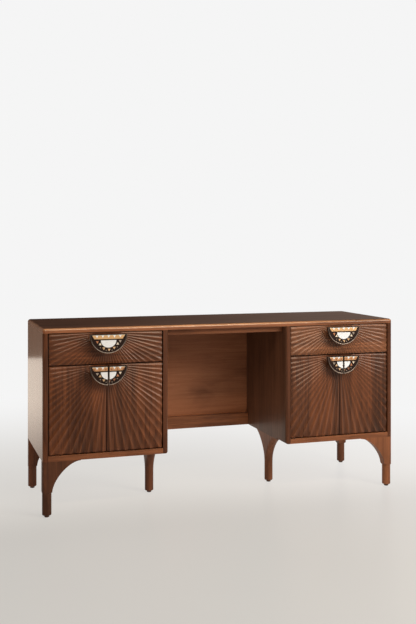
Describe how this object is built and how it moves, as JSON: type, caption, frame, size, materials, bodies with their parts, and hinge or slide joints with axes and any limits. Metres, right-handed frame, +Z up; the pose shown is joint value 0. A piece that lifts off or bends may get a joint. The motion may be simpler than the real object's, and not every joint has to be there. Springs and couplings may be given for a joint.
{
  "type": "office desk",
  "caption": "Wooden knee-hole desk with a drawer over a cupboard in each pedestal, sunburst-fluted fronts, half-moon inlaid pulls and turned legs with arched brackets.",
  "frame": {"origin": "on the floor, under the middle of the desk's outer box with its pulls", "axes": "+X along the desk to the right as the sitter faces it, +Y from the front to the back, +Z up"},
  "size_m": [1.58, 0.5376, 0.762],
  "materials": {
    "top_wood": "dark brown stained wood, satin lacquer",
    "case_wood": "warm brown stained wood, satin lacquer",
    "front_wood": "warm brown stained wood, carved flutes, satin lacquer",
    "inner_wood": "brown stained wood, matt",
    "pull_metal": "cast, darkened with rubbed bright rim",
    "inlay": "polished inlay of bone-coloured tiles in dark resin",
    "bush_brass": "machined",
    "hardware_steel": "zinc plated",
    "catch_plastic": "brown moulded",
    "glide_plastic": "dark moulded"
  },
  "bodies": {
    "carcass": {"desktop": "top_wood", "right_outer_side": "case_wood", "left_outer_side": "case_wood", "right_inner_side": "case_wood", "left_inner_side": "case_wood", "kneehole_apron": "case_wood", "modesty_panel": "case_wood", "modesty_rail": "case_wood", "right_front_leg": "case_wood", "left_front_leg": "case_wood", "right_rear_leg": "case_wood", "left_rear_leg": "case_wood", "right_inner_leg": "case_wood", "left_inner_leg": "case_wood", "leg_glides": "glide_plastic", "left_bottom_panel": "case_wood", "left_back_panel": "case_wood", "left_divider": "inner_wood", "left_shelf": "inner_wood", "right_bottom_panel": "case_wood", "right_back_panel": "case_wood", "right_divider": "inner_wood", "right_shelf": "inner_wood", "shelf_cleats": "inner_wood", "slide_case_channels": "hardware_steel", "pivot_plates": "hardware_steel", "pivot_pins": "hardware_steel", "door_catches": "catch_plastic"},
    "left_drawer": {"left_drawer_front": "front_wood", "left_drawer_sides": "inner_wood", "left_drawer_back": "inner_wood", "left_drawer_bottom": "inner_wood", "left_drawer_pull": "pull_metal", "left_drawer_inlay": "inlay", "left_drawer_runners": "hardware_steel"},
    "left_carriers": {"left_slide_carriers": "hardware_steel"},
    "right_drawer": {"right_drawer_front": "front_wood", "right_drawer_sides": "inner_wood", "right_drawer_back": "inner_wood", "right_drawer_bottom": "inner_wood", "right_drawer_pull": "pull_metal", "right_drawer_inlay": "inlay", "right_drawer_runners": "hardware_steel"},
    "right_carriers": {"right_slide_carriers": "hardware_steel"},
    "left_pedestal_left_door": {"left_pedestal_left_door": "front_wood", "left_pedestal_left_door_pull": "pull_metal", "left_pedestal_left_door_inlay": "inlay", "left_pedestal_left_door_bushes": "bush_brass"},
    "left_pedestal_right_door": {"left_pedestal_right_door": "front_wood", "left_pedestal_right_door_pull": "pull_metal", "left_pedestal_right_door_inlay": "inlay", "left_pedestal_right_door_bushes": "bush_brass"},
    "right_pedestal_left_door": {"right_pedestal_left_door": "front_wood", "right_pedestal_left_door_pull": "pull_metal", "right_pedestal_left_door_inlay": "inlay", "right_pedestal_left_door_bushes": "bush_brass"},
    "right_pedestal_right_door": {"right_pedestal_right_door": "front_wood", "right_pedestal_right_door_pull": "pull_metal", "right_pedestal_right_door_inlay": "inlay", "right_pedestal_right_door_bushes": "bush_brass"}
  },
  "joints": [
    {"name": "left_drawer_slide", "type": "slide", "parent": "carcass", "child": "left_drawer", "axis": [0, -1, 0], "range_m": [0, 0.35]},
    {"name": "left_carrier_slide", "type": "slide", "parent": "carcass", "child": "left_carriers", "axis": [0, -1, 0], "range_m": [0, 0.175]},
    {"name": "right_drawer_slide", "type": "slide", "parent": "carcass", "child": "right_drawer", "axis": [0, -1, 0], "range_m": [0, 0.35]},
    {"name": "right_carrier_slide", "type": "slide", "parent": "carcass", "child": "right_carriers", "axis": [0, -1, 0], "range_m": [0, 0.175]},
    {"name": "left_pedestal_left_door_hinge", "type": "hinge", "parent": "carcass", "child": "left_pedestal_left_door", "pos_m": [-0.745, -0.21875, 0.4285], "axis": [0, 0, -1], "range_deg": [0, 110]},
    {"name": "left_pedestal_right_door_hinge", "type": "hinge", "parent": "carcass", "child": "left_pedestal_right_door", "pos_m": [-0.312, -0.21875, 0.4285], "axis": [0, 0, 1], "range_deg": [0, 110]},
    {"name": "right_pedestal_left_door_hinge", "type": "hinge", "parent": "carcass", "child": "right_pedestal_left_door", "pos_m": [0.312, -0.21875, 0.4285], "axis": [0, 0, -1], "range_deg": [0, 110]},
    {"name": "right_pedestal_right_door_hinge", "type": "hinge", "parent": "carcass", "child": "right_pedestal_right_door", "pos_m": [0.745, -0.21875, 0.4285], "axis": [0, 0, 1], "range_deg": [0, 110]}
  ],
  "couplings": [
    {"joint": "left_carrier_slide", "follows": "left_drawer_slide", "ratio": 0.5},
    {"joint": "right_carrier_slide", "follows": "right_drawer_slide", "ratio": 0.5}
  ]
}
